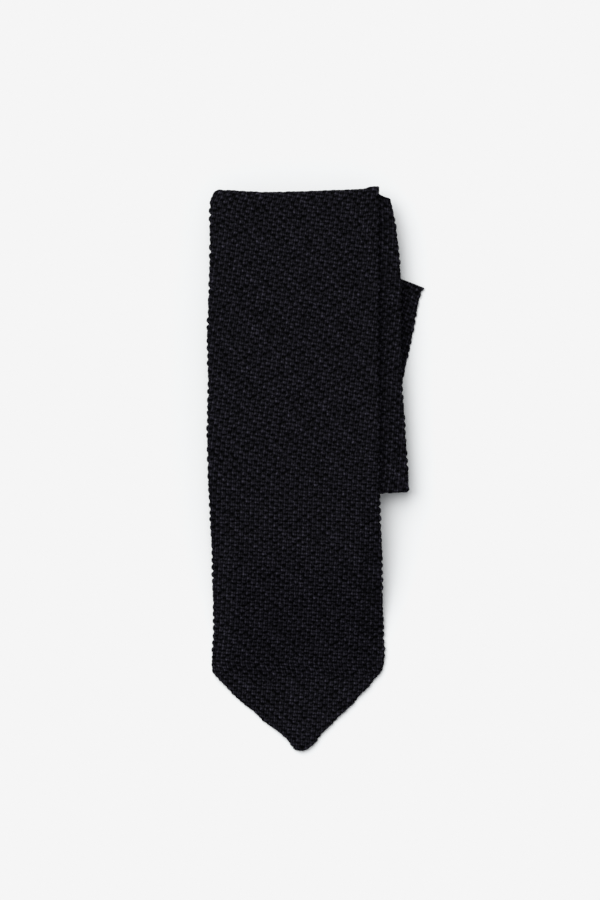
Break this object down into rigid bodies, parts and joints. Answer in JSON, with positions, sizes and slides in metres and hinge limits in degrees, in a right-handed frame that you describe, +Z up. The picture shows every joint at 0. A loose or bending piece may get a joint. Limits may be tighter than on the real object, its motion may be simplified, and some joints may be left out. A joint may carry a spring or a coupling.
{
  "type": "knitted necktie",
  "caption": "Black silk-knit necktie with a pointed blade, folded zigzag and laid flat; every fold opens, the front blade turns back and its end lifts.",
  "frame": {"origin": "middle of the folded tie's outline, on the surface that it lies on", "axes": "+X to the wearer's blade edge where the tail shows, +Y from the point towards the upper fold, +Z up from the surface"},
  "size_m": [0.081, 0.2149, 0.0121],
  "materials": {
    "silk_knit": "blue-black silk yarn, coarse staggered knit with soft sheen",
    "thread": "black silk sewing thread",
    "woven_tape": "blank woven satin tape, charcoal"
  },
  "bodies": {
    "tail": {"tail_panel": "silk_knit", "tail_seam": "thread", "tail_hem": "silk_knit", "tail_bar_tack": "thread"},
    "neck_5": {"neck_panel_5": "silk_knit", "neck_seam_5": "thread", "fold_tail": "silk_knit"},
    "neck_4": {"neck_panel_4": "silk_knit", "neck_seam_4": "thread", "fold_neck_4": "silk_knit"},
    "neck_3": {"neck_panel_3": "silk_knit", "neck_seam_3": "thread", "fold_neck_3": "silk_knit"},
    "neck_2": {"neck_panel_2": "silk_knit", "neck_seam_2": "thread", "fold_neck_2": "silk_knit"},
    "neck_1": {"neck_panel_1": "silk_knit", "neck_seam_1": "thread", "fold_neck_1": "silk_knit"},
    "taper": {"taper_panel": "silk_knit", "taper_seam": "thread", "fold_taper": "silk_knit"},
    "blade_back": {"blade_back_panel": "silk_knit", "blade_back_seam": "thread", "fold_blade_bottom": "silk_knit", "keeper_loop": "silk_knit", "keeper_stitches": "thread", "label": "woven_tape", "label_stitches": "thread", "care_tag": "woven_tape"},
    "blade_front": {"blade_front_panel": "silk_knit", "blade_front_seam": "thread", "fold_blade_top": "silk_knit"},
    "blade_end": {"blade_lower_panel": "silk_knit", "blade_lower_seam": "thread", "blade_tip": "silk_knit", "blade_bend": "silk_knit", "tip_facing": "silk_knit", "blade_bar_tack": "thread"}
  },
  "joints": [
    {"name": "tail_fold", "type": "hinge", "parent": "tail", "child": "neck_5", "pos_m": [-0.0097, -0.0664, 0.00113], "axis": [0.9943, -0.1063, 0], "range_deg": [0, 165], "deforming": ["fold_tail"]},
    {"name": "neck_fold_4", "type": "hinge", "parent": "neck_5", "child": "neck_4", "pos_m": [-0.0102, 0.1041, 0.00229], "axis": [-1, 0, 0], "range_deg": [0, 165], "deforming": ["fold_neck_4"]},
    {"name": "neck_fold_3", "type": "hinge", "parent": "neck_4", "child": "neck_3", "pos_m": [-0.0102, -0.0599, 0.00345], "axis": [1, 0, 0], "range_deg": [0, 165], "deforming": ["fold_neck_3"]},
    {"name": "neck_fold_2", "type": "hinge", "parent": "neck_3", "child": "neck_2", "pos_m": [-0.0102, 0.1041, 0.00461], "axis": [-1, 0, 0], "range_deg": [0, 165], "deforming": ["fold_neck_2"]},
    {"name": "neck_fold_1", "type": "hinge", "parent": "neck_2", "child": "neck_1", "pos_m": [-0.0102, -0.0509, 0.00577], "axis": [0.9998, -0.0209, 0], "range_deg": [0, 165], "deforming": ["fold_neck_1"]},
    {"name": "taper_fold", "type": "hinge", "parent": "neck_1", "child": "taper", "pos_m": [-0.0035, 0.1041, 0.00693], "axis": [-1, -0.007, 0], "range_deg": [0, 165], "deforming": ["fold_taper"]},
    {"name": "blade_bottom_fold", "type": "hinge", "parent": "taper", "child": "blade_back", "pos_m": [0.0028, -0.0091, 0.00829], "axis": [0.9985, 0.0541, 0], "range_deg": [0, 165], "deforming": ["fold_blade_bottom"]},
    {"name": "blade_top_fold", "type": "hinge", "parent": "blade_back", "child": "blade_front", "pos_m": [-0.008, 0.1049, 0.01012], "axis": [-0.9997, -0.0244, 0], "range_deg": [0, 170], "deforming": ["fold_blade_top"]},
    {"name": "blade_end_lift", "type": "hinge", "parent": "blade_front", "child": "blade_end", "pos_m": [-0.007, -0.0374, 0.01137], "axis": [-1, 0, 0], "range_deg": [0, 90], "deforming": ["blade_bend"]}
  ],
  "couplings": [
    {"joint": "neck_fold_4", "follows": "tail_fold", "ratio": 1},
    {"joint": "neck_fold_3", "follows": "tail_fold", "ratio": 1},
    {"joint": "neck_fold_2", "follows": "tail_fold", "ratio": 1},
    {"joint": "neck_fold_1", "follows": "tail_fold", "ratio": 1},
    {"joint": "taper_fold", "follows": "tail_fold", "ratio": 1},
    {"joint": "blade_bottom_fold", "follows": "tail_fold", "ratio": 1}
  ]
}
